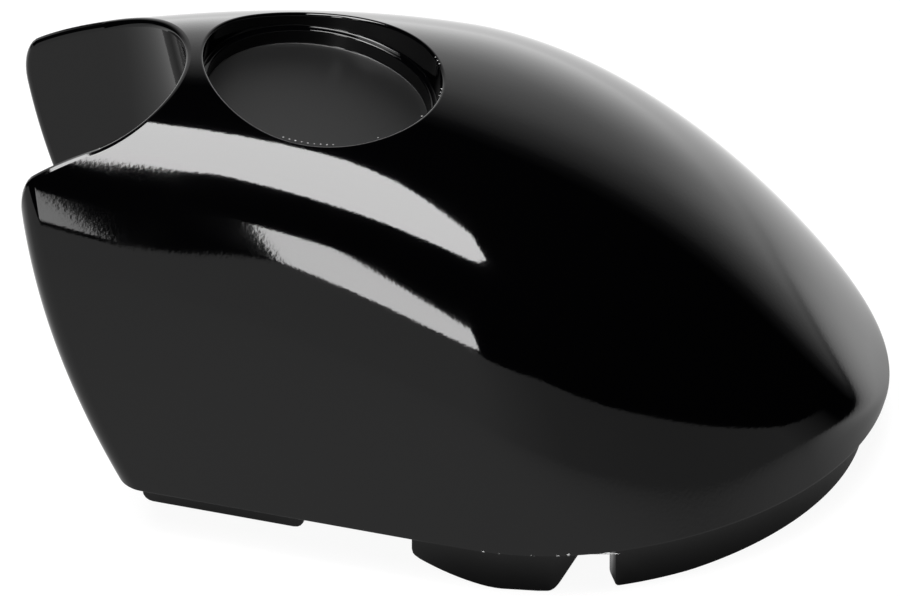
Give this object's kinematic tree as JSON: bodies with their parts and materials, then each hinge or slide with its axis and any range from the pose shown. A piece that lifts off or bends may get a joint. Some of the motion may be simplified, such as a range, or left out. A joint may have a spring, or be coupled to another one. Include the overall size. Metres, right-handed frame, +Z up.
{
  "type": "brake lever cap",
  "caption": "Hollow gloss plastic cover for a bicycle brake lever, with a rear notch, a round badge recess and lips under its edge.",
  "frame": {"origin": "middle of the cap's length and width, on the plane its lower lips stand on", "axes": "+X towards the round nose, +Y across the cap, +Z up through the crown"},
  "size_m": [0.0435, 0.0334, 0.0219],
  "materials": {
    "gloss_black_plastic": "gloss black moulded plastic with a polished face"
  },
  "bodies": {
    "root": {"cap_shell": "gloss_black_plastic"}
  },
  "joints": []
}
